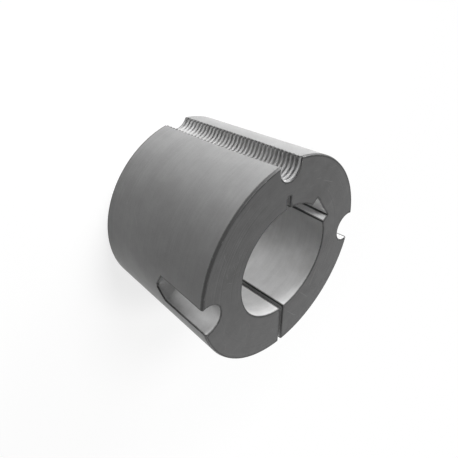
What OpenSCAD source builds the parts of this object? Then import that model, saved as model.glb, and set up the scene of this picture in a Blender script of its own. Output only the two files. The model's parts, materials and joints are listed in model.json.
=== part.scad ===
// Split taper bush that fixes a pulley, sprocket or coupling to a shaft.
// It is one piece of cast iron. Two screws draw its taper into the hub, which closes the bore
// on the shaft, and a third in the tapped half-hole pushes it out again.
// The bush stands on its small end: Z = 0 is the small face, and the bore axis is X = Y = 0.
// Angles are anticlockwise, seen from the large end, and the keyway lies at 180 degrees.

/* [Taper] */
// Diameter of the taper at its widest, just below the large face
large_end_d = 108; // [104:0.5:118]
// Distance between the two end faces
length = 76; // [50:0.5:110]
// Angle between the taper's side and the bore axis
taper_angle = 4; // [2:0.25:6]
// Height of the broken edge at the large face
rim_break_h = 0.95; // [0.3:0.05:2]
// Width of the broken edge, across the large face
rim_break_w = 0.35; // [0.2:0.05:1.5]

/* [Bore] */
// Diameter of the shaft bore
bore_d = 60; // [40:1:68]

/* [Keyway] */
// Width of the keyway
keyway_w = 18; // [10:0.5:20]
// Height of the keyway's side walls, from the bore to the flat floor
keyway_side_h = 4.4; // [2:0.1:6]

/* [Split and slit] */
// Width of the saw cut through the wall
split_w = 2.5; // [1:0.1:5]
// Width of the blind slit that lets the wall bend opposite the split
slit_w = 2.5; // [1:0.1:5]
// Depth of that slit, outward from the bore
slit_depth = 6.5; // [2:0.1:8.5]

/* [Screw half-holes] */
// Diameter of the circle that the half-holes' axes lie on
screw_circle_d = 102; // [100:0.5:104]
// Angle from the keyway to the tapped half-hole
tapped_from_keyway = 55; // [40:1:75]
// Angle from the tapped half-hole to the plain one on each side of it
plain_from_tapped = 95; // [85:1:115]
// Diameter of the plain half-holes
plain_hole_d = 15.9; // [12:0.1:17]
// Depth of the plain half-holes at full diameter, from the large face
plain_hole_depth = 30; // [15:0.5:45]
// Included angle of the drill point that ends each plain half-hole
drill_point_angle = 118; // [90:1:140]

/* [Thread] */
// Diameter of the tapped half-hole at the thread's crests
thread_crest_d = 13.5; // [11:0.1:14]
// Diameter of the tapped half-hole at the thread's roots
thread_root_d = 15.9; // [14.5:0.1:17]
// Distance from one thread to the next
thread_pitch = 2.31; // [2:0.01:3]
// Included angle between the thread's flanks
thread_angle = 55; // [45:1:60]
// Width of the flat at each thread's root
thread_root_w = 0.4; // [0.1:0.05:0.6]

/* [Hidden] */
$fn = 96;

// Distance that each cut runs past the faces that it opens
over = 1;

bore_r = bore_d / 2;
widest_r = large_end_d / 2;
widest_z = length - rim_break_h;
large_face_r = widest_r - rim_break_w;
small_face_r = widest_r - widest_z * tan(taper_angle);

keyway_angle = 180;
keyway_corner_r = sqrt(pow(bore_r, 2) - pow(keyway_w / 2, 2));
keyway_floor_r = keyway_corner_r + keyway_side_h;

tapped_angle = keyway_angle + tapped_from_keyway;
plain_angles = [tapped_angle - plain_from_tapped, tapped_angle + plain_from_tapped];
split_angle = tapped_angle + 180;
slit_floor_r = bore_r + slit_depth;

screw_circle_r = screw_circle_d / 2;
plain_hole_r = plain_hole_d / 2;
drill_point_h = plain_hole_r / tan(drill_point_angle / 2);

thread_crest_r = thread_crest_d / 2;
thread_root_r = thread_root_d / 2;
thread_lead_angle = atan(thread_pitch / (PI * thread_root_d));
// Lowest groove, below the small face, placed so that a crest meets the large face
thread_start_z = (length - thread_pitch / 2) % thread_pitch - thread_pitch;
groove_start_r = thread_crest_r - 0.25;
groove_root_half_w = thread_root_w / 2;
groove_half_w = groove_root_half_w + (thread_root_r - groove_start_r) * tan(thread_angle / 2);

// Ring with the taper outside and the bore inside
module taper_ring() {
    rotate_extrude()
        polygon([
            [bore_r, 0],
            [small_face_r, 0],
            [widest_r, widest_z],
            [large_face_r, length],
            [bore_r, length],
        ]);
}

// Straight cut through the whole length, from the axis out to a flat floor
module radial_cut(angle, width, floor_r) {
    rotate([0, 0, angle])
        translate([0, -width / 2, -over])
            cube([floor_r, width, length + 2 * over]);
}

// Places a cut on the circle of the screws
module on_screw_circle(angle, z = 0) {
    rotate([0, 0, angle])
        translate([screw_circle_r, 0, z])
            children();
}

// Drilled hole, open at the large face, that ends in the drill's point
module plain_hole() {
    full_depth_z = length - plain_hole_depth;
    rotate_extrude()
        polygon([
            [0, full_depth_z - drill_point_h],
            [plain_hole_r, full_depth_z],
            [plain_hole_r, length + over],
            [0, length + over],
        ]);
}

// One turn of the right-hand thread: a V groove tilted by the lead angle
module thread_turn() {
    rotate([-thread_lead_angle, 0, 0])
        rotate_extrude()
            polygon([
                [groove_start_r, -groove_half_w],
                [thread_root_r, -groove_root_half_w],
                [thread_root_r, groove_root_half_w],
                [groove_start_r, groove_half_w],
            ]);
}

// Tapped hole through the whole length
module tapped_hole(angle) {
    on_screw_circle(angle, -over)
        cylinder(r = thread_crest_r, h = length + 2 * over);
    for (z = [thread_start_z : thread_pitch : length + thread_pitch])
        on_screw_circle(angle, z)
            thread_turn();
}

module bush() {
    color([0.42, 0.42, 0.43])
        difference() {
            taper_ring();
            radial_cut(keyway_angle, keyway_w, keyway_floor_r);
            radial_cut(tapped_angle, slit_w, slit_floor_r);
            radial_cut(split_angle, split_w, widest_r + over);
            for (angle = plain_angles)
                on_screw_circle(angle)
                    plain_hole();
            tapped_hole(tapped_angle);
        }
}

bush();
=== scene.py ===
import bpy
import bmesh
import json
import math
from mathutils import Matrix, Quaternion, Vector
from mathutils.geometry import delaunay_2d_cdt
from mathutils.kdtree import KDTree


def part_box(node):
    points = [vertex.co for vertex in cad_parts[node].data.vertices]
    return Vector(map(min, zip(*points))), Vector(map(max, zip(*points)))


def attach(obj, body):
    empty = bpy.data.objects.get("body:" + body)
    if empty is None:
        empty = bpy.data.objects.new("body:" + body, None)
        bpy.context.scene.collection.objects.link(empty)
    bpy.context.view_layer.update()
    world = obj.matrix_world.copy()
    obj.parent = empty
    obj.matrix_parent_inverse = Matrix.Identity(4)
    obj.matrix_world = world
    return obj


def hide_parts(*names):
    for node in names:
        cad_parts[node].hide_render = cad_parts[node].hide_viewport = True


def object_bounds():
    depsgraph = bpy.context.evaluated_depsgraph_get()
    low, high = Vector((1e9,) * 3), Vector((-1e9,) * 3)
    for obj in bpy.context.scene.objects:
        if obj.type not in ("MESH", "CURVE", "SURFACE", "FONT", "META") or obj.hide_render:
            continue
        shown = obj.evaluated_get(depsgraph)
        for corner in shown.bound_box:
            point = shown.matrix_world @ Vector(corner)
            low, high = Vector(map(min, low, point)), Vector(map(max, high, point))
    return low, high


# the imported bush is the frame, in metres: its small face is on Z = 0 and its bore runs up the Z axis
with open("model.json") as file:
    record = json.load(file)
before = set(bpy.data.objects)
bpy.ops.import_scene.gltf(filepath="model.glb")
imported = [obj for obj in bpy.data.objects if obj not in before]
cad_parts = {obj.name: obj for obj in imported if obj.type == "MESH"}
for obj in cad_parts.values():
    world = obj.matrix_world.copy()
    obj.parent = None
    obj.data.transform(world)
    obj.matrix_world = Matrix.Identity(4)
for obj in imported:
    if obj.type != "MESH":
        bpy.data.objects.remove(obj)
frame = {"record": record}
cadBox = [list(corner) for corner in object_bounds()]
bushLow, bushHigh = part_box("bush")
mountAt = {mount["name"]: mount for mount in frame["record"]["mounts"]}
mm = 0.001


def addNode(tree, kind, **values):
    node = tree.nodes.new(kind)
    for name, value in values.items():
        setattr(node, name, value)
    return node


def link(tree, source, target):
    tree.links.new(source, target)


def setSocket(tree, socket, value):
    # a number, a colour or another node's socket
    if isinstance(value, (int, float)):
        socket.default_value = value
    elif isinstance(value, (tuple, list)):
        socket.default_value = (*value, 1)
    elif value is not None:
        link(tree, value, socket)


def mathNode(tree, operation, first, second=None, third=None):
    node = addNode(tree, "ShaderNodeMath", operation=operation)
    for socket, value in zip(node.inputs, (first, second, third)):
        setSocket(tree, socket, value)
    return node.outputs[0]


def vectorMath(tree, operation, first, second=None):
    node = addNode(tree, "ShaderNodeVectorMath", operation=operation)
    link(tree, first, node.inputs[0])
    if isinstance(second, tuple):
        node.inputs[1].default_value = second
    elif second is not None:
        link(tree, second, node.inputs[1])
    return node.outputs["Value" if operation in ("DOT_PRODUCT", "LENGTH") else "Vector"]


def scaleVector(tree, vector, factor):
    node = addNode(tree, "ShaderNodeVectorMath", operation="SCALE")
    link(tree, vector, node.inputs[0])
    setSocket(tree, node.inputs["Scale"], factor)
    return node.outputs[0]


def mapRange(tree, value, fromLow, fromHigh, toLow, toHigh, smooth=False):
    node = addNode(tree, "ShaderNodeMapRange")
    node.interpolation_type = "SMOOTHSTEP" if smooth else "LINEAR"
    link(tree, value, node.inputs["Value"])
    for name, end in (("From Min", fromLow), ("From Max", fromHigh), ("To Min", toLow), ("To Max", toHigh)):
        setSocket(tree, node.inputs[name], end)
    return node.outputs[0]


def mixColours(tree, factor, first, second):
    node = addNode(tree, "ShaderNodeMix", data_type="RGBA")
    for index, value in ((0, factor), (6, first), (7, second)):
        setSocket(tree, node.inputs[index], value)
    return node.outputs[2]


def noise(tree, vector, scale, detail=2.0, roughness=0.5):
    node = addNode(tree, "ShaderNodeTexNoise")
    node.inputs["Scale"].default_value = scale
    node.inputs["Detail"].default_value = detail
    node.inputs["Roughness"].default_value = roughness
    link(tree, vector, node.inputs["Vector"])
    return node.outputs["Fac"]


def vectorOf(tree, x, y, z):
    node = addNode(tree, "ShaderNodeCombineXYZ")
    for socket, value in zip(node.inputs, (x, y, z)):
        setSocket(tree, socket, value)
    return node.outputs[0]


def splitVector(tree, vector):
    node = addNode(tree, "ShaderNodeSeparateXYZ")
    link(tree, vector, node.inputs[0])
    return node.outputs


def objectPosition(tree):
    # the point on the bush, in millimetres
    return scaleVector(tree, addNode(tree, "ShaderNodeTexCoord").outputs["Object"], 1 / mm)


def distanceFrom(tree, x, y, centre=(0, 0)):
    alongX = mathNode(tree, "SUBTRACT", x, centre[0])
    alongY = mathNode(tree, "SUBTRACT", y, centre[1])
    squares = mathNode(tree, "MULTIPLY_ADD", alongX, alongX, mathNode(tree, "MULTIPLY", alongY, alongY))
    return mathNode(tree, "SQRT", squares)


def newGroup(name, inputs, outputs):
    # every input is a number with its usual value, and every output is a number
    group = bpy.data.node_groups.new(name, "ShaderNodeTree")
    for label, value in inputs.items():
        socket = group.interface.new_socket(name=label, in_out="INPUT", socket_type="NodeSocketFloat")
        socket.default_value = value
    for label in outputs:
        group.interface.new_socket(name=label, in_out="OUTPUT", socket_type="NodeSocketFloat")
    return group, addNode(group, "NodeGroupInput").outputs, addNode(group, "NodeGroupOutput").inputs


def placeGroup(tree, group, **values):
    node = addNode(tree, "ShaderNodeGroup", node_tree=group)
    for name, value in values.items():
        setSocket(tree, node.inputs[name], value)
    return node.outputs


# the bush's shape, in millimetres

bushForm = {
    "length": bushHigh[2] / mm,
    "widestRadius": (bushHigh[0] - bushLow[0]) / 2 / mm,
    "taperAngle": math.radians(4),
    "rimBreakHeight": 0.95,
    "rimBreakWidth": 0.35,
    "boreRadius": mountAt["bore"]["dims"]["r_mm"],
    "keywayWidth": 18,
    "keywayFloorRadius": -mountAt["keyway_floor"]["pos_m"][0] / mm,
    "splitWidth": 2.5,
    "slitWidth": 2.5,
    "slitFloorRadius": 36.5,
    "plainRadius": 7.95,
    "plainDepth": 30,
    "drillPointAngle": math.radians(118),
    "chiselRadius": 0.9,
    "crestRadius": 6.75,
    "rootRadius": 7.95,
    "cornerBreak": 0.42,
    "faceBreak": 0.16,
}

# the mouth's two points lie outside the iron, and the root's curve goes by shares of its half width
threadForm = {
    "pitch": 2.31,
    "flankAngle": math.radians(55),
    "rootWidth": 0.4,
    "rootRounding": 0.9,
    "rootCurve": ((0.3, 0.75), (0, 0.3)),
    "crestBreak": 0.12,
    "mouthPast": (0.2, 0.02),
    "mouthFlare": (1.2, 0.9),
    "mouthSpare": 0.1,
    "stepsPerTurn": 72,
    "turnsBelow": 1.5,
    "spareTurns": 3,
}

# how many steps each stretch of the outline and each group of rows is made of
meshSteps = {
    "taperArc": 56,
    "halfHole": 30,
    "splitSide": 16,
    "slitSide": 5,
    "slitFloor": 2,
    "boreToSlit": 100,
    "boreToKeyway": 20,
    "boreToSplit": 60,
    "keywaySide": 4,
    "keywayFloor": 14,
    "corner": 4,
    "faceBreak": 3,
    "belowDrillTip": 14,
    "drillPoint": 12,
    "drilledWall": 10,
}

# rows near the small face, the drill tip and the rim, and the spacing of the points in an end face
meshSpacing = {
    "aboveSmallFace": 1.5,
    "belowTip": (1.6, 0.8, 0.3, 0),
    "columnsSpread": 14,
    "belowRim": 1.2,
    "aroundRim": (-0.2, 0, 0.2, 0.5),
    "capStart": 1.4,
    "capPoints": 1.9,
    "capRowShare": 0.87,
    "capMargin": 1.25,
    "cornerShare": 0.25,
    "sameHeight": 0.001,
    "samePoint": 0.0001,
    "noLength": 0.00001,
    "capTolerance": 0.000001,
    "weld": 0.005,
    "wearReach": 1.6,
}

# the angle past which two faces meet in a sharp edge, and how much larger faces count in the shading
shading = {"sharpAngle": math.radians(40), "areaWeight": 60}


def mountPlace(name):
    # angle and distance of a mount from the bore axis
    x, y, z = mountAt[name]["pos_m"]
    return math.atan2(y, x) % (2 * math.pi), math.hypot(x, y) / mm


keywayAngle = math.pi
tappedAngle, screwCircle = mountPlace("tapped_half_hole")
plainAngles = [mountPlace(name)[0] for name in ("plain_half_hole_1", "plain_half_hole_2")]
splitAngle = tappedAngle - math.pi
widestHeight = bushForm["length"] - bushForm["rimBreakHeight"]
plainFullHeight = bushForm["length"] - bushForm["plainDepth"]
drillSlope = math.tan(bushForm["drillPointAngle"] / 2)
drillTipHeight = plainFullHeight - bushForm["plainRadius"] / drillSlope
chiselHeight = drillTipHeight + bushForm["chiselRadius"] / drillSlope


def outerRadius(z):
    if z <= widestHeight:
        return bushForm["widestRadius"] - (widestHeight - z) * math.tan(bushForm["taperAngle"])
    inwards = bushForm["rimBreakWidth"] * (z - widestHeight) / bushForm["rimBreakHeight"]
    return bushForm["widestRadius"] - inwards


def plainRadiusAt(z):
    return min(bushForm["plainRadius"], (z - drillTipHeight) * drillSlope)


def polar(radius, angle, centre=(0, 0)):
    return Vector((centre[0] + radius * math.cos(angle), centre[1] + radius * math.sin(angle)))


def arcRun(finish, steps, radius, start, end, centre=(0, 0)):
    return {
        "finish": finish,
        "steps": meshSteps[steps],
        "length": abs(end - start) * radius,
        "at": lambda t: polar(radius, start + (end - start) * t, centre),
    }


def lineRun(finish, steps, start, end):
    return {
        "finish": finish,
        "steps": meshSteps[steps],
        "length": (end - start).length,
        "at": lambda t: start.lerp(end, t),
    }


def lipAngle(radius, z):
    # half the angle at the bore axis between the two lips of a half-hole
    outer = outerRadius(z)
    return math.acos((outer**2 + screwCircle**2 - radius**2) / (2 * outer * screwCircle))


def wallAngle(radius, z):
    # half the angle that the half-hole's wall spans about its own axis
    outer = outerRadius(z)
    return math.acos((screwCircle**2 + radius**2 - outer**2) / (2 * screwCircle * radius))


def halfHoleRun(finish, angle, radius, z):
    half, inward = wallAngle(radius, z), angle + math.pi
    return arcRun(finish, "halfHole", radius, inward + half, inward - half, polar(screwCircle, angle))


def closedLipAngle(z):
    # below a drill point the wall is whole, and its columns spread out again
    narrow = lipAngle(bushForm["chiselRadius"], chiselHeight)
    wide = lipAngle(bushForm["plainRadius"], bushForm["length"] / 2)
    return narrow + (wide - narrow) * min(1, (chiselHeight - z) / meshSpacing["columnsSpread"])


def outlineRuns(z, plainOpen):
    # the stretches of one section: round the taper from the split, and back round the bore
    outer, bore = outerRadius(z), bushForm["boreRadius"]
    slitFloor, keyFloor = bushForm["slitFloorRadius"], bushForm["keywayFloorRadius"]
    halfSplit = bushForm["splitWidth"] / 2
    halfSlit = bushForm["slitWidth"] / 2
    halfKey = bushForm["keywayWidth"] / 2
    splitSide, slitSide, keySide = (math.asin(half / bore) for half in (halfSplit, halfSlit, halfKey))
    outerSplitSide = math.asin(halfSplit / outer)
    firstPlain, secondPlain = plainAngles
    splitEnd = splitAngle + 2 * math.pi
    tappedLip = lipAngle(bushForm["crestRadius"], z)
    plainLip = lipAngle(plainRadiusAt(z), z) if plainOpen else closedLipAngle(z)

    def plain(angle):
        if plainOpen:
            return halfHoleRun("drilled", angle, plainRadiusAt(z), z)
        return arcRun("taper", "halfHole", outer, angle - plainLip, angle + plainLip)

    def across(radius, angle, offset):
        # point at a distance sideways from a radial line, where the circle of that radius crosses it
        return polar(radius, angle + math.asin(offset / radius))

    def flat(distance, angle, offset):
        # point at a distance sideways, on the flat floor at that distance from the axis
        return polar(distance, angle) + polar(offset, angle + math.pi / 2)

    def sawSide(side):
        return across(outer, splitAngle, side), across(bore, splitAngle, side)

    slitMouth = [across(bore, tappedAngle, side) for side in (halfSlit, -halfSlit)]
    slitEnd = [flat(slitFloor, tappedAngle, side) for side in (halfSlit, -halfSlit)]
    keyMouth = [across(bore, keywayAngle, side) for side in (halfKey, -halfKey)]
    keyEnd = [flat(keyFloor, keywayAngle, side) for side in (halfKey, -halfKey)]
    lowSide, highSide = sawSide(-halfSplit), sawSide(halfSplit)
    return [
        arcRun("taper", "taperArc", outer, splitAngle + outerSplitSide, firstPlain - plainLip),
        plain(firstPlain),
        arcRun("taper", "taperArc", outer, firstPlain + plainLip, tappedAngle - tappedLip),
        halfHoleRun("tapped", tappedAngle, bushForm["crestRadius"], z),
        arcRun("taper", "taperArc", outer, tappedAngle + tappedLip, secondPlain - plainLip),
        plain(secondPlain),
        arcRun("taper", "taperArc", outer, secondPlain + plainLip, splitEnd - outerSplitSide),
        lineRun("sawn", "splitSide", lowSide[0], lowSide[1]),
        arcRun("bored", "boreToSlit", bore, splitEnd - splitSide, tappedAngle + slitSide),
        lineRun("sawn", "slitSide", slitMouth[0], slitEnd[0]),
        lineRun("sawn", "slitFloor", slitEnd[0], slitEnd[1]),
        lineRun("sawn", "slitSide", slitEnd[1], slitMouth[1]),
        arcRun("bored", "boreToKeyway", bore, tappedAngle - slitSide, keywayAngle + keySide),
        lineRun("broached", "keywaySide", keyMouth[0], keyEnd[0]),
        lineRun("broached", "keywayFloor", keyEnd[0], keyEnd[1]),
        lineRun("broached", "keywaySide", keyEnd[1], keyMouth[1]),
        arcRun("bored", "boreToSplit", bore, keywayAngle - keySide, splitAngle + splitSide),
        lineRun("sawn", "splitSide", highSide[1], highSide[0]),
    ]


def outlinePoints(z, plainOpen):
    # the closed section at one height, with each corner broken, and the finish of each stretch
    runs = outlineRuns(z, plainOpen)
    points, finishes = [], []
    cornerSteps, mostTrim = meshSteps["corner"], meshSpacing["cornerShare"]
    for index, run in enumerate(runs):
        following = runs[(index + 1) % len(runs)]
        trim = min(bushForm["cornerBreak"] / run["length"], mostTrim)
        nextTrim = min(bushForm["cornerBreak"] / following["length"], mostTrim)
        for step in range(run["steps"] + 1):
            points.append(run["at"](trim + (1 - 2 * trim) * step / run["steps"]))
            finishes.append(run["finish"])
        before, corner, after = run["at"](1 - trim), run["at"](1), following["at"](nextTrim)
        cornerFinish = "taper" if run["finish"] == following["finish"] == "taper" else "edge"
        finishes[-1] = cornerFinish
        for step in range(1, cornerSteps):
            t = step / cornerSteps
            points.append(before * (1 - t) ** 2 + corner * 2 * t * (1 - t) + after * t**2)
            finishes.append(cornerFinish)
    return points, finishes


def insetPoints(points, distance):
    # moves the outline into the iron by one distance, mitred at each point
    moved = []
    for index, point in enumerate(points):
        into = (point - points[index - 1]).normalized()
        out = (points[(index + 1) % len(points)] - point).normalized()
        normals = Vector((-into.y, into.x)) + Vector((-out.y, out.x))
        moved.append(point + normals * (distance / (1 + into.dot(out))))
    return moved


def sectionRows():
    # height, inset and whether the plain half-holes are open, from the small face up
    size, steps, top = bushForm["faceBreak"], meshSteps["faceBreak"], bushForm["length"]
    quarter = [math.pi / 2 * step / steps for step in range(steps + 1)]
    low, point, wall = meshSteps["belowDrillTip"], meshSteps["drillPoint"], meshSteps["drilledWall"]
    coneHeight = plainFullHeight - chiselHeight
    wallHeight = widestHeight - meshSpacing["belowRim"] - plainFullHeight
    rows = [(size * (1 - math.cos(angle)), size * (1 - math.sin(angle)), False) for angle in quarter]
    rows.append((meshSpacing["aboveSmallFace"], 0, False))
    rows += [(chiselHeight * step / low, 0, False) for step in range(1, low)]
    rows += [(chiselHeight - below, 0, False) for below in meshSpacing["belowTip"]]
    rows += [(chiselHeight + coneHeight * step / point, 0, True) for step in range(point + 1)]
    rows += [(plainFullHeight + wallHeight * step / wall, 0, True) for step in range(1, wall + 1)]
    rows += [(widestHeight + above, 0, True) for above in meshSpacing["aroundRim"]]
    for angle in quarter:
        rows.append((top - size * (1 - math.sin(angle)), size * (1 - math.cos(angle)), True))
    return rows


finishOrder = ["taper", "faced", "bored", "broached", "sawn", "drilled", "tapped", "edge"]


def capPoints(outline):
    # rings of points inside an end face, none of them nearer its outline than the spacing allows
    near = KDTree(len(outline))
    for index, point in enumerate(outline):
        near.insert((point.x, point.y, 0), index)
    near.balance()
    points, spacing = [], meshSpacing["capPoints"]
    radius = bushForm["boreRadius"] + meshSpacing["capStart"]
    while radius < bushForm["widestRadius"]:
        count = round(2 * math.pi * radius / spacing)
        for step in range(count):
            point = polar(radius, 2 * math.pi * (step + 0.5 * (len(points) % 2)) / count)
            clear = near.find((point.x, point.y, 0))[2] > meshSpacing["capMargin"]
            if clear and insideOutline(point, outline):
                points.append(point)
        radius += spacing * meshSpacing["capRowShare"]
    return points


def insideOutline(point, outline):
    inside = False
    before = outline[-1]
    for after in outline:
        if (after.y > point.y) != (before.y > point.y):
            crossing = after.x + (point.y - after.y) * (before.x - after.x) / (before.y - after.y)
            inside ^= point.x < crossing
        before = after
    return inside


def capEnd(mesh, loop, facesDown):
    # fills an end face with triangles
    outline = [Vector((vert.co.x, vert.co.y)) / mm for vert in loop]
    height = loop[0].co.z
    inner = capPoints(outline)
    verts = loop + [mesh.verts.new((point.x * mm, point.y * mm, height)) for point in inner]
    result = delaunay_2d_cdt(outline + inner, [], [list(range(len(loop)))], 1, meshSpacing["capTolerance"])
    for corners in result[2]:
        ring = [verts[result[3][corner][0]] for corner in corners]
        face = mesh.faces.new(list(reversed(ring)) if facesDown else ring)
        face.material_index = finishOrder.index("faced")
        face.smooth = True


def loftBody():
    mesh = bmesh.new()
    rows = sectionRows()
    loops, finishes = [], []
    for z, inset, plainOpen in rows:
        points, finish = outlinePoints(z, plainOpen)
        if inset > 0:
            points = insetPoints(points, inset)
        loops.append([mesh.verts.new((point.x * mm, point.y * mm, z * mm)) for point in points])
        finishes.append(finish)
    count = len(loops[0])
    breakRows = meshSteps["faceBreak"]
    for row in range(len(rows) - 1):
        isBreak = row < breakRows or row >= len(rows) - 1 - breakRows
        isRim = rows[row][0] >= widestHeight - meshSpacing["sameHeight"]
        for index in range(count):
            after = (index + 1) % count
            face = mesh.faces.new(
                (loops[row][index], loops[row][after], loops[row + 1][after], loops[row + 1][index])
            )
            finish = finishes[row][index]
            if isBreak or (isRim and finish == "taper"):
                finish = "edge"
            face.material_index = finishOrder.index(finish)
            face.smooth = True
    capEnd(mesh, loops[0], True)
    capEnd(mesh, loops[-1], False)
    bmesh.ops.remove_doubles(mesh, verts=mesh.verts, dist=meshSpacing["samePoint"] * mm)
    bmesh.ops.dissolve_degenerate(mesh, edges=mesh.edges, dist=meshSpacing["noLength"] * mm)
    data = bpy.data.meshes.new("bushBody")
    mesh.to_mesh(data)
    mesh.free()
    return data


def threadSection():
    # one groove as (distance from the hole's axis, height), from its broken edges to its rounded root
    crest, root = bushForm["crestRadius"], bushForm["rootRadius"]
    slope = math.tan(threadForm["flankAngle"] / 2)
    rootHalf = threadForm["rootWidth"] / 2
    crestHalf = rootHalf + (root - crest) * slope
    edge = threadForm["crestBreak"]
    rounding = rootHalf * threadForm["rootRounding"]
    farPast, nearPast = threadForm["mouthPast"]
    farFlare, nearFlare = threadForm["mouthFlare"]
    upper = [
        (crest - farPast, crestHalf + edge * farFlare + threadForm["mouthSpare"]),
        (crest - nearPast, crestHalf + edge * nearFlare),
        (crest + edge, crestHalf - edge * slope),
        (root - rounding, rootHalf + rounding * slope),
    ]
    for below, share in threadForm["rootCurve"]:
        upper.append((root - rounding * below, rootHalf * share))
    return upper + [(radius, -height) for radius, height in reversed(upper)]


def threadCutter():
    mesh = bmesh.new()
    section = threadSection()
    perTurn, pitch = threadForm["stepsPerTurn"], threadForm["pitch"]
    turns = math.ceil(bushForm["length"] / pitch) + threadForm["spareTurns"]
    centre = polar(screwCircle, tappedAngle)
    # a crest meets the large face at the middle of the half-hole's wall
    start = (bushForm["length"] - pitch / 2) % pitch
    rings = []
    for step in range(turns * perTurn + 1):
        angle = tappedAngle + 2 * math.pi * step / perTurn
        lift = pitch * (step / perTurn - threadForm["turnsBelow"]) + start
        ring = []
        for radius, height in section:
            point = polar(radius, angle, centre)
            ring.append(mesh.verts.new((point.x * mm, point.y * mm, (lift + height) * mm)))
        rings.append(ring)
    count = len(section)
    for low, high in zip(rings, rings[1:]):
        for index in range(count):
            after = (index + 1) % count
            mesh.faces.new((low[index], high[index], high[after], low[after]))
    mesh.faces.new(rings[0])
    mesh.faces.new(list(reversed(rings[-1])))
    bmesh.ops.recalc_face_normals(mesh, faces=mesh.faces)
    for face in mesh.faces:
        face.material_index = 0
        face.smooth = True
    data = bpy.data.meshes.new("threadCutter")
    mesh.to_mesh(data)
    mesh.free()
    return data


def weldMesh(data):
    # joins the points that the thread's cut left almost on each other, and splits faces of many corners
    mesh = bmesh.new()
    mesh.from_mesh(data)
    bmesh.ops.remove_doubles(mesh, verts=mesh.verts, dist=meshSpacing["weld"] * mm)
    manyCorners = [face for face in mesh.faces if len(face.verts) > 4]
    bmesh.ops.triangulate(mesh, faces=manyCorners, ngon_method="BEAUTY")
    mesh.to_mesh(data)
    mesh.free()


def markEdges(mesh):
    # a value for each point that is 1 on a broken edge and falls to 0 at the reach of the wear
    edge = finishOrder.index("edge")
    onEdge = {index for face in mesh.polygons if face.material_index == edge for index in face.vertices}
    near = KDTree(len(onEdge))
    for index in onEdge:
        near.insert(mesh.vertices[index].co, index)
    near.balance()
    nearness = mesh.attributes.new("edgeNearness", "FLOAT", "POINT")
    reach = meshSpacing["wearReach"] * mm
    values = [max(0, 1 - near.find(vert.co)[2] / reach) for vert in mesh.vertices]
    nearness.data.foreach_set("value", values)


def makeBush(materials):
    body = bpy.data.objects.new("taperBush", loftBody())
    cutter = bpy.data.objects.new("threadCutter", threadCutter())
    for thing in (body, cutter):
        bpy.context.scene.collection.objects.link(thing)
    for name in finishOrder:
        body.data.materials.append(materials[name])
    cutter.data.materials.append(materials["tapped"])
    cut = body.modifiers.new("cut thread", "BOOLEAN")
    cut.operation = "DIFFERENCE"
    cut.solver = "MANIFOLD"
    cut.material_mode = "TRANSFER"
    cut.object = cutter
    bpy.context.view_layer.update()
    shaped = bpy.data.meshes.new_from_object(body.evaluated_get(bpy.context.evaluated_depsgraph_get()))
    weldMesh(shaped)
    body.modifiers.clear()
    body.data = shaped
    bpy.data.objects.remove(cutter)
    triangles = sum(len(face.vertices) - 2 for face in shaped.polygons)
    print("bush mesh:", len(shaped.polygons), "faces,", triangles, "triangles")
    bpy.context.view_layer.objects.active = body
    body.select_set(True)
    bpy.ops.object.shade_smooth_by_angle(angle=shading["sharpAngle"])
    weighted = body.modifiers.new("even shading", "WEIGHTED_NORMAL")
    weighted.keep_sharp = True
    weighted.weight = shading["areaWeight"]
    bpy.ops.object.modifier_apply(modifier=weighted.name)
    body.select_set(False)
    markEdges(body.data)
    return body


# finishes, with each distance in millimetres

# a pattern of noise hardly ever leaves this span
noiseSpan = (0.3, 0.7)

# a scale with Lines is counted from one tool mark to the next
marksPattern = {
    "wander": {"scale": 0.06},
    "alongScale": 0.02,
    "fine": {"scale": 1.1, "detail": 3, "roughness": 0.6},
    "torn": {"scale": 1, "detail": 2},
    "tornLines": 0.37,
    "tornSpan": (0.52, 0.7),
    "tornDepth": 1.6,
    "band": {"scale": 1, "detail": 4, "roughness": 0.75},
    "bandLines": 0.13,
}


def machiningMarksGroup():
    # lines side by side, as a cutting tool leaves them
    group, given, out = newGroup(
        "machiningMarks",
        {"Across": 0, "Spacing": 0.3, "Regular": 0.5, "Wander": 0.05},
        ["Height", "Shade"],
    )
    place = objectPosition(group)
    x, y, z = splitVector(group, place)
    drift = mapRange(group, noise(group, place, **marksPattern["wander"]), 0, 1, -1, 1)
    moved = mathNode(group, "MULTIPLY_ADD", drift, given["Wander"], given["Across"])
    lines = mathNode(group, "DIVIDE", moved, given["Spacing"])
    slowX = mathNode(group, "MULTIPLY", x, marksPattern["alongScale"])
    slowY = mathNode(group, "MULTIPLY", mathNode(group, "ADD", y, z), marksPattern["alongScale"])

    def stretched(scale):
        # a point for noise that changes from line to line and hardly along a line
        return vectorOf(group, mathNode(group, "MULTIPLY", lines, scale), slowX, slowY)

    ridges = mathNode(group, "MULTIPLY", mathNode(group, "PINGPONG", lines, 0.5), 2)
    fine = noise(group, vectorOf(group, lines, slowX, slowY), **marksPattern["fine"])
    regular = mathNode(group, "MULTIPLY", mathNode(group, "SUBTRACT", ridges, fine), given["Regular"])
    # now and then the tool tears a deeper line
    tearing = noise(group, stretched(marksPattern["tornLines"]), **marksPattern["torn"])
    torn = mapRange(group, tearing, *marksPattern["tornSpan"], 0, -marksPattern["tornDepth"])
    link(group, mathNode(group, "ADD", mathNode(group, "ADD", fine, regular), torn), out["Height"])
    bands = noise(group, stretched(marksPattern["bandLines"]), **marksPattern["band"])
    link(group, mapRange(group, bands, *noiseSpan, 0, 1), out["Shade"])
    return group


mottlePattern = {
    "cloud": {"scale": 1, "detail": 5, "roughness": 0.62},
    "pit": {"scale": 2.4, "detail": 2, "roughness": 0.6},
    "pitSpan": (0.64, 0.72),
}


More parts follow.
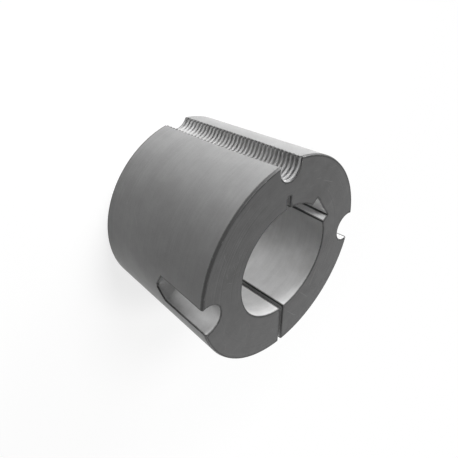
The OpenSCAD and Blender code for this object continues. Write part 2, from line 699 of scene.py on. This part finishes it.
def ironMottleGroup():
    # uneven tone of cast iron, and the small dark pits where graphite came out
    group, given, out = newGroup("ironMottle", {"Size": 6, "Pits": 0.5}, ["Cloud", "Pits"])
    place = objectPosition(group)
    scaled = scaleVector(group, place, mathNode(group, "DIVIDE", 1, given["Size"]))
    cloud = noise(group, scaled, **mottlePattern["cloud"])
    link(group, mapRange(group, cloud, *noiseSpan, 0, 1), out["Cloud"])
    specks = noise(group, place, **mottlePattern["pit"])
    specks = mapRange(group, specks, *mottlePattern["pitSpan"], 0, 1, smooth=True)
    link(group, mathNode(group, "MULTIPLY", specks, given["Pits"]), out["Pits"])
    return group


wearPattern = {
    "worn": {"scale": 0.6, "detail": 4, "roughness": 0.65},
    "wornUneven": 0.45,
    "wornFade": 0.35,
    "line": {"scale": 0.9, "detail": 3},
    "lineUneven": 0.12,
    "lineSpan": (0.62, 0.86),
}


def edgeWearGroup():
    # bright rubbed metal that breaks up as it leaves an edge, and a dark line beside it
    group, given, out = newGroup("edgeWear", {"Nearness": 0, "Start": 0.7}, ["Worn", "Line"])
    place = objectPosition(group)

    def unevenNearness(pattern, most):
        uneven = mapRange(group, noise(group, place, **pattern), 0, 1, -most, most)
        return mathNode(group, "ADD", given["Nearness"], uneven)

    rubbed = unevenNearness(wearPattern["worn"], wearPattern["wornUneven"])
    end = mathNode(group, "ADD", given["Start"], wearPattern["wornFade"])
    link(group, mapRange(group, rubbed, given["Start"], end, 0, 1, smooth=True), out["Worn"])
    linedNearness = unevenNearness(wearPattern["line"], wearPattern["lineUneven"])
    link(group, mapRange(group, linedNearness, *wearPattern["lineSpan"], 0, 1, smooth=True), out["Line"])
    return group


# the middle of a scratch is sharp up to the first share of its width, and its length fades over the second
scratchFade = {"sharpShare": 0.3, "lengthShares": (0.2, 0.55)}


def straightScratches(tree, place, spread, width, share):
    # each cell of the pattern may hold one scratch, where a plane through its centre meets the surface
    cells = addNode(tree, "ShaderNodeTexVoronoi")
    cells.inputs["Scale"].default_value = 1 / spread
    link(tree, place, cells.inputs["Vector"])
    fromCentre = vectorMath(tree, "SUBTRACT", place, cells.outputs["Position"])
    lean = vectorMath(tree, "SUBTRACT", cells.outputs["Color"], (0.5, 0.5, 0.5))
    sideways = vectorMath(tree, "DOT_PRODUCT", fromCentre, vectorMath(tree, "NORMALIZE", lean))
    apart = mathNode(tree, "ABSOLUTE", sideways)
    line = mapRange(tree, apart, width * scratchFade["sharpShare"], width, 1, 0, smooth=True)
    start, end = (spread * part for part in scratchFade["lengthShares"])
    faded = mapRange(tree, vectorMath(tree, "LENGTH", fromCentre), start, end, 1, 0, smooth=True)
    kept = mathNode(tree, "LESS_THAN", splitVector(tree, cells.outputs["Color"])[1], share)
    return mathNode(tree, "MULTIPLY", line, mathNode(tree, "MULTIPLY", faded, kept))


# a share is how many of the pattern's cells hold a scratch
handlingMarks = {
    "long": {"spread": 15, "width": 0.09, "share": 0.5},
    "short": {"spread": 5, "width": 0.07, "share": 0.4},
    "shortStrength": 0.7,
    "stain": {"scale": 0.045, "detail": 4, "roughness": 0.6},
    "stainSpan": (0.47, 0.68),
}


def handlingGroup():
    # fine scratches from handling, and patches where oil dried
    group, given, out = newGroup("handling", {"Stain": 1}, ["Scratches", "Stain"])
    place = objectPosition(group)
    long = straightScratches(group, place, **handlingMarks["long"])
    short = straightScratches(group, place, **handlingMarks["short"])
    short = mathNode(group, "MULTIPLY", short, handlingMarks["shortStrength"])
    link(group, mathNode(group, "MAXIMUM", long, short), out["Scratches"])
    patches = noise(group, place, **handlingMarks["stain"])
    patches = mapRange(group, patches, *handlingMarks["stainSpan"], 0, 1, smooth=True)
    link(group, mathNode(group, "MULTIPLY", patches, given["Stain"]), out["Stain"])
    return group


def alongBore(tree, x, y, z):
    return z


def outFromBore(tree, x, y, z):
    return distanceFrom(tree, x, y)


def outFromTappedHole(tree, x, y, z):
    return distanceFrom(tree, x, y, polar(screwCircle, tappedAngle))


def acrossKeyway(tree, x, y, z):
    return mathNode(tree, "ADD", x, y)


# how far the saw's marks lean along the cut
sawLean = 0.07


def acrossSawCut(tree, x, y, z):
    return mathNode(tree, "MULTIPLY_ADD", z, sawLean, distanceFrom(tree, x, y))


# tone is the grey of each finish with painted light and shade in it, and spacing and depth are those of the
# tool marks
finishLook = {
    "taper": {"tone": 0.255, "uneven": 0.13, "metallic": 0, "roughness": 0.45, "marks": alongBore,
              "spacing": 0.32, "regular": 0.45, "wander": 0.03, "depth": 0.02, "size": 9, "pits": 0.5,
              "wornTone": 0.3, "wearStart": 0.95, "scratches": 0.6, "stain": 0.1},
    # the end face's low tone is painted shade: it keeps the face darker than the iron's own grey
    "faced": {"tone": 0.112, "uneven": 0.16, "metallic": 0.75, "roughness": 0.42, "marks": outFromBore,
              "spacing": 0.34, "regular": 0.6, "wander": 0.02, "depth": 0.018, "size": 7, "pits": 0.5,
              "wornTone": 0.3, "wearStart": 0.95, "scratches": 0.5, "stain": 0.12},
    # the bore's tone is partly the brighter bored finish and partly painted light on the inside of the bore
    "bored": {"tone": 0.6, "uneven": 0.12, "metallic": 0.1, "roughness": 0.42, "marks": alongBore,
              "spacing": 0.3, "regular": 0.6, "wander": 0.02, "depth": 0.016, "size": 8, "pits": 0.5,
              "wornTone": 0.6, "wearStart": 0.95, "scratches": 0.3, "stain": 0.12},
    # the keyway's near-white tone is painted light on walls that the lamps leave in shade
    "broached": {"tone": 0.9, "uneven": 0.1, "metallic": 0.1, "roughness": 0.38, "marks": acrossKeyway,
                 "spacing": 0.5, "regular": 0.1, "wander": 0.05, "depth": 0.02, "size": 6, "pits": 0.6,
                 "wornTone": 0.6, "wearStart": 0.95, "scratches": 0, "stain": 0.1},
    # the saw cut's tone is partly its own grey and partly painted light in the narrow split
    "sawn": {"tone": 0.5, "uneven": 0.2, "metallic": 0.2, "roughness": 0.5, "marks": acrossSawCut,
             "spacing": 0.6, "regular": 0.25, "wander": 0.25, "depth": 0.03, "size": 4, "pits": 0.8,
             "wornTone": 0.3, "wearStart": 0.95, "scratches": 0, "stain": 0.15},
    # the half-holes' tone is partly the drilled finish and partly painted light on walls that the lamps
    # leave in shade
    "drilled": {"tone": 0.52, "uneven": 0.15, "metallic": 0.5, "roughness": 0.46, "marks": alongBore,
                "spacing": 0.42, "regular": 0.5, "wander": 0.2, "depth": 0.02, "size": 5, "pits": 0.6,
                "wornTone": 0.6, "wearStart": 0.95, "scratches": 0, "stain": 0.15},
    # the thread's tone is partly its own grey and partly painted light
    "tapped": {"tone": 0.43, "uneven": 0.16, "metallic": 0, "roughness": 0.42, "marks": outFromTappedHole,
               "spacing": 0.16, "regular": 0.2, "wander": 0.05, "depth": 0.006, "size": 4, "pits": 0.5,
               "wornTone": 0.6, "wearStart": 0.95, "scratches": 0, "stain": 0.2},
    # the broken edges are near black, so that each edge shows as a dark line
    "edge": {"tone": 0.05, "uneven": 0.3, "metallic": 0.2, "roughness": 0.45, "marks": alongBore,
             "spacing": 0.3, "regular": 0.1, "wander": 0.3, "depth": 0.006, "size": 3, "pits": 0.4,
             "wornTone": 0.16, "wearStart": 1.1, "scratches": 0, "stain": 0.05},
}

# what all the finishes share: tints and tones as shares of each finish's tone, and the line's own tone
commonLook = {
    "marksShare": 0.45,
    "cloudShare": 0.55,
    "stainTint": (0.45, 0.43, 0.4),
    "pitTint": 0.5,
    "lineTone": 0.035,
    "lineStrength": 0.8,
    "marksRoughness": 0.04,
    "stainRoughness": 0.3,
    "wornRoughness": -0.08,
    "pitDepth": 0.01,
    "scratchDepth": 0.008,
}

groups = {
    "marks": machiningMarksGroup(),
    "mottle": ironMottleGroup(),
    "wear": edgeWearGroup(),
    "handling": handlingGroup(),
}


def ironMaterial(name, look):
    material = bpy.data.materials.new(name + "Iron")
    material.use_nodes = True
    tree = material.node_tree
    shader = tree.nodes["Principled BSDF"]
    x, y, z = splitVector(tree, objectPosition(tree))
    marks = placeGroup(
        tree,
        groups["marks"],
        Across=look["marks"](tree, x, y, z),
        Spacing=look["spacing"],
        Regular=look["regular"],
        Wander=look["wander"],
    )
    mottle = placeGroup(tree, groups["mottle"], Size=look["size"], Pits=look["pits"])
    nearness = addNode(tree, "ShaderNodeAttribute", attribute_name="edgeNearness").outputs["Fac"]
    wear = placeGroup(tree, groups["wear"], Nearness=nearness, Start=look["wearStart"])
    line = mathNode(tree, "MULTIPLY", wear["Line"], commonLook["lineStrength"])
    handling = placeGroup(tree, groups["handling"], Stain=look["stain"])
    scratches = mathNode(tree, "MULTIPLY", handling["Scratches"], look["scratches"])
    bright = mathNode(tree, "MAXIMUM", wear["Worn"], scratches)

    # the tones of the end face and of the hollows hold painted shade and painted light as well as the
    # iron's own grey
    tone, uneven = look["tone"], look["uneven"]
    cloud = mathNode(tree, "MULTIPLY", mottle["Cloud"], commonLook["cloudShare"])
    blend = mathNode(tree, "MULTIPLY_ADD", marks["Shade"], commonLook["marksShare"], cloud)
    colour = mixColours(tree, blend, (tone * (1 - uneven),) * 3, (tone * (1 + uneven),) * 3)
    stained = tuple(tone * tint for tint in commonLook["stainTint"])
    colour = mixColours(tree, handling["Stain"], colour, stained)
    colour = mixColours(tree, mottle["Pits"], colour, (tone * commonLook["pitTint"],) * 3)
    colour = mixColours(tree, line, colour, (commonLook["lineTone"],) * 3)
    colour = mixColours(tree, bright, colour, (look["wornTone"],) * 3)
    link(tree, colour, shader.inputs["Base Color"])

    middle, spread = look["roughness"], commonLook["marksRoughness"]
    rough = mapRange(tree, marks["Shade"], 0, 1, middle - spread, middle + spread)
    rough = mathNode(tree, "MULTIPLY_ADD", handling["Stain"], commonLook["stainRoughness"], rough)
    rough = mathNode(tree, "MULTIPLY_ADD", bright, commonLook["wornRoughness"], rough)
    link(tree, rough, shader.inputs["Roughness"])
    shader.inputs["Metallic"].default_value = look["metallic"]

    height = mathNode(tree, "MULTIPLY", marks["Height"], look["depth"])
    height = mathNode(tree, "MULTIPLY_ADD", mottle["Pits"], -commonLook["pitDepth"], height)
    height = mathNode(tree, "MULTIPLY_ADD", scratches, -commonLook["scratchDepth"], height)
    bump = addNode(tree, "ShaderNodeBump")
    bump.inputs["Strength"].default_value = 1
    bump.inputs["Distance"].default_value = mm
    link(tree, height, bump.inputs["Height"])
    link(tree, bump.outputs["Normal"], shader.inputs["Normal"])
    return material


materials = {name: ironMaterial(name, look) for name, look in finishLook.items()}
print("finishes made:", ", ".join(materials))

bush = makeBush(materials)
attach(bush, "root")
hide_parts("bush")
print("bush made")


# camera, lamps and floor

# degrees and metres, and the sensor in millimetres
photoCamera = {
    "azimuth": 10,
    "elevation": 35.264,
    "roll": 120,
    "distance": 0.2873,
    "fieldOfView": 45,
    "sensorWidth": 36,
    "nearest": 0.01,
    "farthest": 20,
}


def direction(angle, elevation):
    # unit vector from degrees, where the angle runs anticlockwise from the X axis
    angle, elevation = math.radians(angle), math.radians(elevation)
    level = math.cos(elevation)
    return Vector((math.cos(angle) * level, math.sin(angle) * level, math.sin(elevation)))


def placeFacing(name, data, location, back):
    # puts a camera or lamp there, looking the other way from back
    thing = bpy.data.objects.new(name, data)
    bpy.context.scene.collection.objects.link(thing)
    thing.location = location
    thing.rotation_mode = "QUATERNION"
    thing.rotation_quaternion = (-back).to_track_quat("-Z", "Y")
    return thing


def makeCamera():
    data = bpy.data.cameras.new("photoCamera")
    data.sensor_width = photoCamera["sensorWidth"]
    data.lens = data.sensor_width / 2 / math.tan(math.radians(photoCamera["fieldOfView"] / 2))
    data.clip_start, data.clip_end = photoCamera["nearest"], photoCamera["farthest"]
    back = direction(photoCamera["azimuth"] - 90, photoCamera["elevation"])
    middle = (Vector(cadBox[0]) + Vector(cadBox[1])) / 2
    camera = placeFacing("photoCamera", data, middle + back * photoCamera["distance"], back)
    camera.rotation_quaternion @= Quaternion((0, 0, 1), math.radians(photoCamera["roll"]))
    bpy.context.scene.camera = camera


# level is the brightness that the lamp alone gives a white card at the bush that faces it
lamps = {
    "low": {"angle": 194, "elevation": 4, "distance": 1, "size": 0.4, "level": 1.64},
    "high": {"angle": 227, "elevation": 53, "distance": 1.1, "size": 0.5, "level": 1},
    "back": {"angle": 54, "elevation": 12, "distance": 1.1, "size": 0.9, "level": 0.34},
}


def makeLamp(name, values):
    data = bpy.data.lights.new(name, "AREA")
    data.shape = "DISK"
    data.size = values["size"]
    data.energy = values["level"] * (math.pi * values["distance"]) ** 2
    away = direction(values["angle"], values["elevation"])
    placeFacing(name, data, Vector((0, 0, bushHigh[2] / 2)) + away * values["distance"], away)


def seenDirectly(tree):
    path = addNode(tree, "ShaderNodeLightPath").outputs
    direct = mathNode(tree, "MAXIMUM", path["Is Camera Ray"], path["Is Glossy Ray"])
    return mathNode(tree, "MAXIMUM", direct, path["Is Transmission Ray"])


# the world's heights are sines, and a core is the share of a reach over which a shadow is even
surroundings = {
    "fillStrength": 0.035,
    "ceilingStrength": 0.35,
    "wallHeight": 0.42,
    "ceilingHeight": 0.8,
    "floorRadius": 4,
    "floorCorners": 96,
    "floorAlbedo": 1,
    "floorBounce": 0.45,
    "shadowShare": 0.1,
    "contactShare": 0.22,
    "contactReach": 0.08,
    "contactCore": 0.65,
    "shadowReach": 0.3,
    "shadowCore": 0.5,
}


def makeWorld():
    # white walls up to 25 degrees above the floor, and a dimmer ceiling
    world = bpy.data.worlds.new("studio")
    world.use_nodes = True
    bpy.context.scene.world = world
    tree = world.node_tree
    background = tree.nodes["Background"]
    background.inputs["Color"].default_value = (1, 1, 1, 1)
    height = splitVector(tree, addNode(tree, "ShaderNodeTexCoord").outputs["Generated"])[2]
    wall, ceiling = surroundings["wallHeight"], surroundings["ceilingHeight"]
    seen = mapRange(tree, height, wall, ceiling, 1, surroundings["ceilingStrength"], smooth=True)
    strength = mapRange(tree, seenDirectly(tree), 0, 1, surroundings["fillStrength"], seen)
    link(tree, strength, background.inputs["Strength"])


def makeFloor():
    mesh = bmesh.new()
    corners, radius = surroundings["floorCorners"], surroundings["floorRadius"]
    bmesh.ops.create_circle(mesh, cap_ends=True, segments=corners, radius=radius)
    data = bpy.data.meshes.new("floor")
    mesh.to_mesh(data)
    mesh.free()
    floor = bpy.data.objects.new("floor", data)
    bpy.context.scene.collection.objects.link(floor)
    material = bpy.data.materials.new("paleFloor")
    material.use_nodes = True
    tree = material.node_tree
    tree.nodes.clear()
    matt = addNode(tree, "ShaderNodeBsdfDiffuse")
    albedo, bounce = surroundings["floorAlbedo"], surroundings["floorBounce"]
    link(tree, mixColours(tree, seenDirectly(tree), (bounce,) * 3, (albedo,) * 3), matt.inputs["Color"])
    glow = addNode(tree, "ShaderNodeEmission")
    glow.inputs["Strength"].default_value = 1
    mix = addNode(tree, "ShaderNodeMixShader")
    # seen directly, the floor is white, and keeps the shadow near the bush only
    x, y, z = splitVector(tree, objectPosition(tree))
    away = distanceFrom(tree, x, y)
    contact, reach = surroundings["contactReach"] / mm, surroundings["shadowReach"] / mm
    contactCore, shadowCore = contact * surroundings["contactCore"], reach * surroundings["shadowCore"]
    strong, weak = surroundings["contactShare"], surroundings["shadowShare"]
    near = mapRange(tree, away, contactCore, contact, strong, weak, smooth=True)
    fading = mapRange(tree, away, shadowCore, reach, 1, 0, smooth=True)
    shadow = mathNode(tree, "MULTIPLY", near, fading)
    share = mathNode(tree, "MULTIPLY", seenDirectly(tree), mathNode(tree, "SUBTRACT", 1, shadow))
    link(tree, share, mix.inputs[0])
    link(tree, matt.outputs[0], mix.inputs[1])
    link(tree, glow.outputs[0], mix.inputs[2])
    link(tree, mix.outputs[0], addNode(tree, "ShaderNodeOutputMaterial").inputs["Surface"])
    data.materials.append(material)


makeCamera()
for name, values in lamps.items():
    makeLamp(name, values)
makeWorld()
makeFloor()
bpy.context.scene.view_settings.view_transform = "Standard"
print("camera, lamps and floor made")
